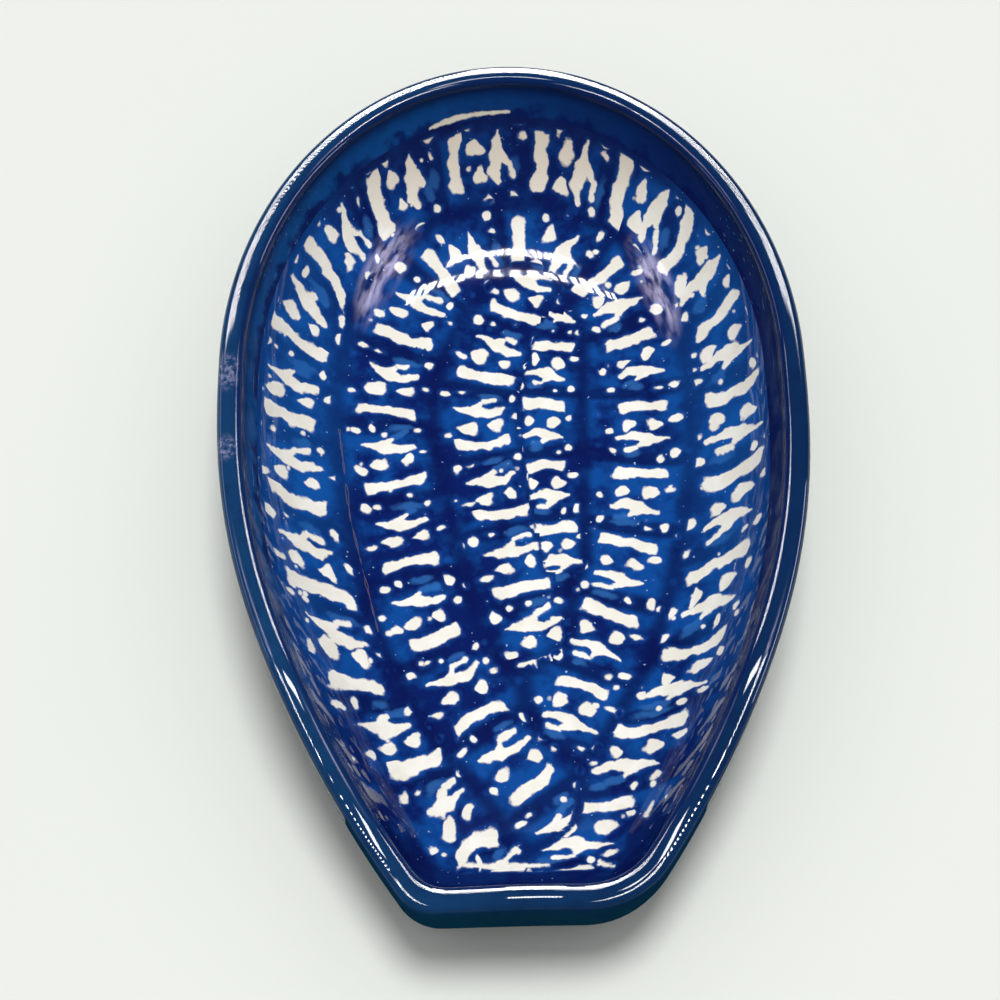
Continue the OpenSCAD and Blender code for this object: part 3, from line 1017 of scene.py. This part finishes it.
stamps, given, result = new_group(
    "stamping", {"Place": "Vector", "Stamp": "Vector", "Edge": "Float", "Slip": "Float"},
    {"Color": "Color", "Height": "Float"})
place, edge, slip = given["Place"], given["Edge"], given["Slip"]
x, y, z = add(stamps, "SeparateXYZ", in_0=place).outputs
counted, across, pitch = add(stamps, "SeparateXYZ", in_0=given["Stamp"]).outputs
number = calc(stamps, "FLOOR", calc(stamps, "DIVIDE", counted, 100.0))
unit = calc(stamps, "FLOORED_MODULO", counted, 100.0)
# A stamp begins a little before its bar
cell = calc(stamps, "FLOOR", calc(stamps, "ADD", unit, 0.13))
share = calc(stamps, "SUBTRACT", unit, cell)
# The hand's unevenness: the edges of the stamped shapes wander
wander = add(stamps, "SeparateXYZ", in_0=noise_at(stamps, place, 300.0, 2.0, 0.5, "Color"))
wobble_x, wobble_y = [calc(stamps, "MULTIPLY_ADD", w, 1.9, -0.95) for w in wander.outputs[:2]]
across_now = calc(stamps, "ADD", across, wobble_y)


def chance(seed):
    """Three random numbers for each stamp"""
    key = add(stamps, "CombineXYZ", in_X=cell, in_Y=number, in_Z=seed)
    picked = add(stamps, "TexWhiteNoise", in_Vector=key.outputs[0])
    return add(stamps, "SeparateColor", in_0=picked.outputs["Color"]).outputs[:3]


def off(value, random, size):
    """A value moved by up to size either way"""
    return calc(stamps, "MULTIPLY_ADD", random, 2 * size, value - size)


def near(part):
    """Places in millimetres about the line part of the way from one bar to the next"""
    along = calc(stamps, "MULTIPLY_ADD", calc(stamps, "SUBTRACT", share, part), pitch, wobble_x)
    upright = calc(stamps, "MULTIPLY_ADD", along, slip, across_now)
    return add(stamps, "CombineXYZ", in_X=along, in_Y=upright).outputs[0]


r1, r2, r3 = chance(0.5)
r4, r5, r6 = chance(1.5)
r7, r8, r9 = chance(2.5)

# The bar, a little bent and wider at its rounded ends than in the middle
bar_across, bar_along = add(stamps, "SeparateXYZ", in_0=near(0.0)).outputs[:2]
reach = off(4.7, r1, 0.5)
q = calc(stamps, "DIVIDE", bar_along, reach)
square = calc(stamps, "MULTIPLY", q, q)
lean = calc(stamps, "MULTIPLY_ADD", bar_along, off(0.0, r2, 0.1),
            calc(stamps, "MULTIPLY", square, off(0.0, r4, 0.9)))
from_line = calc(stamps, "ABSOLUTE", calc(stamps, "SUBTRACT", bar_across, lean))
half_wide = calc(stamps, "MULTIPLY_ADD", square, 0.4, off(0.86, r5, 0.14))
cut = calc(stamps, "MULTIPLY_ADD", bar_across, off(0.0, r3, 0.3),
           calc(stamps, "ABSOLUTE", bar_along))
bar = calc(stamps, "SMOOTH_MAX", calc(stamps, "SUBTRACT", from_line, half_wide),
           calc(stamps, "SUBTRACT", cut, reach), 1.6)

# The dart points to the rim. Its later prong is long and bent. The other is a short hook,
# with a sliver beyond it that often printed faintly.
local = near(0.485)
tip_x, tail_x = off(-0.3, r3, 0.4), off(0.2, r4, 0.5)
point = limb(stamps, local, tip_x, off(4.2, r6, 0.4), 0.2, 0.3, 0.4, 1.15)
prong = joined(stamps, limb(stamps, local, 0.35, 0.5, 1.1, 0.8, -1.8, 0.78),
               limb(stamps, local, 0.8, -1.8, 0.78, tail_x, off(-4.0, r7, 0.5), 0.42))
hook = limb(stamps, local, -0.2, 0.6, 0.9, -1.2, off(-0.5, r8, 0.3), 0.42)
dart = joined(stamps, point, prong, hook, melt=0.4)
sliver = limb(stamps, local, -1.65, off(-0.9, r8, 0.3), 0.4,
              off(-1.8, r8, 0.25), off(-2.9, r9, 0.7), 0.46)
printed = rise(stamps, r5, 0.5, 0.45)
dart = joined(stamps, dart, calc(stamps, "MULTIPLY_ADD", printed, 5.0, sliver))

# Two drops and the small dots between the larger shapes
local = near(0.725)
drops = [
    spot(stamps, local, off(0.0, r7, 0.35), off(2.2, r8, 0.35),
         off(1.05, r9, 0.2), off(1.5, r1, 0.25), 0.35),
    spot(stamps, local, off(-0.1, r8, 0.35), off(-2.5, r7, 0.5),
         off(1.0, r6, 0.25), off(1.15, r2, 0.25), 0.5),
    spot(stamps, local, off(0.9, r5, 0.4), off(5.4, r9, 0.4),
         off(0.6, r4, 0.25), off(0.85, r3, 0.25)),
    spot(stamps, local, off(-1.5, r9, 0.5), off(-6.0, r6, 0.4), off(0.55, r7, 0.25), 0.6),
]
local = near(0.27)
dots = [
    spot(stamps, local, off(0.0, r6, 0.5), off(5.5, r5, 0.5), off(0.7, r3, 0.25), 0.85),
    spot(stamps, local, off(-0.4, r1, 0.3), off(2.9, r2, 0.6), off(0.5, r4, 0.35), 0.55),
    spot(stamps, local, off(0.3, r4, 0.5), off(-5.4, r3, 0.5), off(0.65, r8, 0.25), 0.6),
]
faint = joined(stamps, sliver, spot(stamps, local, off(0.0, r9, 0.5), off(-1.6, r7, 0.8), 0.45,
                                    off(1.2, r1, 0.4)))
# Slivers of white where the stamp missed beside the lip
seen_above = flat_place(stamps, place, 0, 1)
seen_ahead = flat_place(stamps, place, 0, 2)
slivers = joined(stamps, *[limb(stamps, seen_ahead, *ends) for ends in (
    (-9.0, 6.1, 0.15, -2.8, 6.4, 0.4), (-2.8, 6.4, 0.4, 3.4, 6.3, 0.1),
    (-3.6, 6.2, 0.5, -2.6, 6.0, 0.4), (10.5, 6.4, 0.3, 12.4, 8.0, 0.2))])
slivers = calc(stamps, "MAXIMUM", slivers, calc(stamps, "MULTIPLY_ADD", y, 1000.0, 57.5))
slivers = joined(stamps, slivers, limb(stamps, seen_above, 17.3, -54.8, 0.3, 18.4, -52.8, 0.2))
# Crumbs of the stamp between its shapes
crumb = add(stamps, "TexVoronoi", in_Vector=place, in_Scale=260.0).outputs["Distance"]
few = rise(stamps, noise_at(stamps, place, 150.0), 0.42, 0.56)
crumbs = product(stamps, calc(stamps, "SUBTRACT", crumb, product(stamps, few, 0.13)), 3.8)

# No shape crosses the edge of its strip, and all of them are a little ragged
ragged = calc(stamps, "MULTIPLY_ADD", noise_at(stamps, place, 620.0, 3.0, 0.6), 0.8, -0.4)
outside_strip = calc(stamps, "SUBTRACT", calc(stamps, "MULTIPLY_ADD", wobble_y, 0.6, 0.75), edge)
nearest = calc(stamps, "ADD", joined(stamps, bar, dart, *drops, *dots, crumbs), ragged)
nearest = calc(stamps, "MAXIMUM", nearest, outside_strip)
nearest = joined(stamps, nearest, calc(stamps, "ADD", slivers, ragged))
faint = calc(stamps, "MAXIMUM", calc(stamps, "ADD", faint, ragged), outside_strip)

# The cobalt ground is brushed on unevenly
blot = noise_at(stamps, place, 190.0, 3.0, 0.6)
cloud = noise_at(stamps, place, 70.0, 3.0, 0.55)
light = rise(stamps, calc(stamps, "MULTIPLY_ADD", blot, 0.6, product(stamps, cloud, 0.5)),
             0.47, 0.66)
ground = blend(stamps, light, GROUND_DEEP, GROUND_LIGHT)
# The colour lies double, and dark, where one stamp or strip meets the next
meeting = calc(stamps, "MAXIMUM", rise(stamps, edge, 2.6, 0.2),
               within(stamps, share, 0.07, 0.16, 0.28, 0.38))
meeting = product(stamps, meeting, rise(stamps, cloud, 0.25, 0.5))
ground = laid_over(stamps, ground, GROUND_DOUBLE, meeting, 0.8)
ground = laid_over(stamps, ground, FAINT_BLUE, rise(stamps, faint, 0.5, -0.1), 0.5)
ground = laid_over(stamps, ground, BLEED_BLUE, rise(stamps, nearest, 0.7, 0.0), 0.4)
# The ground is lighter on the side walls than on the floor
on_wall = rise(stamps, calc(stamps, "ABSOLUTE", x), 0.022, 0.034)
ground = laid_over(stamps, ground, WALL_BLUE, on_wall, 0.35)
specks = rise(stamps, noise_at(stamps, place, 1500.0, 1.0), 0.76, 0.79)
ground = blend(stamps, specks, ground, SPECK_BLUE)
# Painted shade darkens the steep wall of the round end, its ground and its bare white alike
far_wall_shade = rise(stamps, y, 0.044, 0.06)
ground = laid_over(stamps, ground, FAR_WALL_SHADE_BLUE, far_wall_shade, 0.45)
bare = blend(stamps, rise(stamps, blot, 0.4, 0.65), CREAM, WHITE)
bare = blend(stamps, far_wall_shade, bare, FAR_WALL_SHADE_CREAM)
pattern = blend(stamps, rise(stamps, nearest, 0.15, -0.15), ground, bare)
# A grey hairline has formed where the floor meets the left wall
hairline = joined(stamps, limb(stamps, seen_above, -27.1, 10.7, 0.03, -25.2, -5.0, 0.07),
                  limb(stamps, seen_above, -25.2, -5.0, 0.07, -20.8, -24.0, 0.05))
hairline = calc(stamps, "MULTIPLY_ADD", wobble_x, 0.5, hairline)
hairline = rise(stamps, calc(stamps, "ABSOLUTE", hairline), 0.1, 0.03)
wire(stamps, laid_over(stamps, pattern, HAIRLINE_GREY, hairline, 0.45), result["Color"])
wire(stamps, noise_at(stamps, place, 110.0), result["Height"])

well_glazes = []
for name, gloss in (("stamped_glaze", WELL_GLOSS), ("rubbed_stamped_glaze", RUBBED_WELL_GLOSS)):
    material, tree, shader, look = glazed(name, stamps, gloss, 0.14)
    shader.inputs["Roughness"].default_value = 0.035
    well_glazes.append(material)

bm = bmesh.new()
bm.verts.layers.float.new("edge")
bm.loops.layers.float_vector.new("stamp")
bm.loops.layers.float.new("slip")
rings = film(bm, well_rings(0), well_rings(GLAZE), closed=True)
stamp_well(bm, rings)
pinch(bm, rings[-1])
well_glaze = put_object("stamped_well_lining", bm, *well_glazes)
for face in well_glaze.data.polygons:
    if face.center.y < RUBBED_WELL_FRONT:
        face.material_index = 1
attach(well_glaze, "root")
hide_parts("bowl_glaze")

# The rows of lamps show in this glaze alone
well_alone = bpy.data.collections.new("well")
well_alone.objects.link(well_glaze)
for lamp in row_lamps:
    lamp.light_linking.receiver_collection = well_alone


# The glaze under the base: the same cobalt, poured inside the foot ring and left thin.
# It is a flat film that stops at the bare ring.
bm = bmesh.new()
rings = loft(bm, [flat_ring(FOOT_INNER_PLAN, z) for z in (FOOT_HEIGHT - GLAZE, FOOT_HEIGHT)])
crease(bm, *rings)
cap(bm, rings[0])
cap(bm, rings[1])
bmesh.ops.recalc_face_normals(bm, faces=bm.faces)
base_coat = put_object("cobalt_under_base", bm, cobalts[0])
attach(base_coat, "root")
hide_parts("base_glaze")
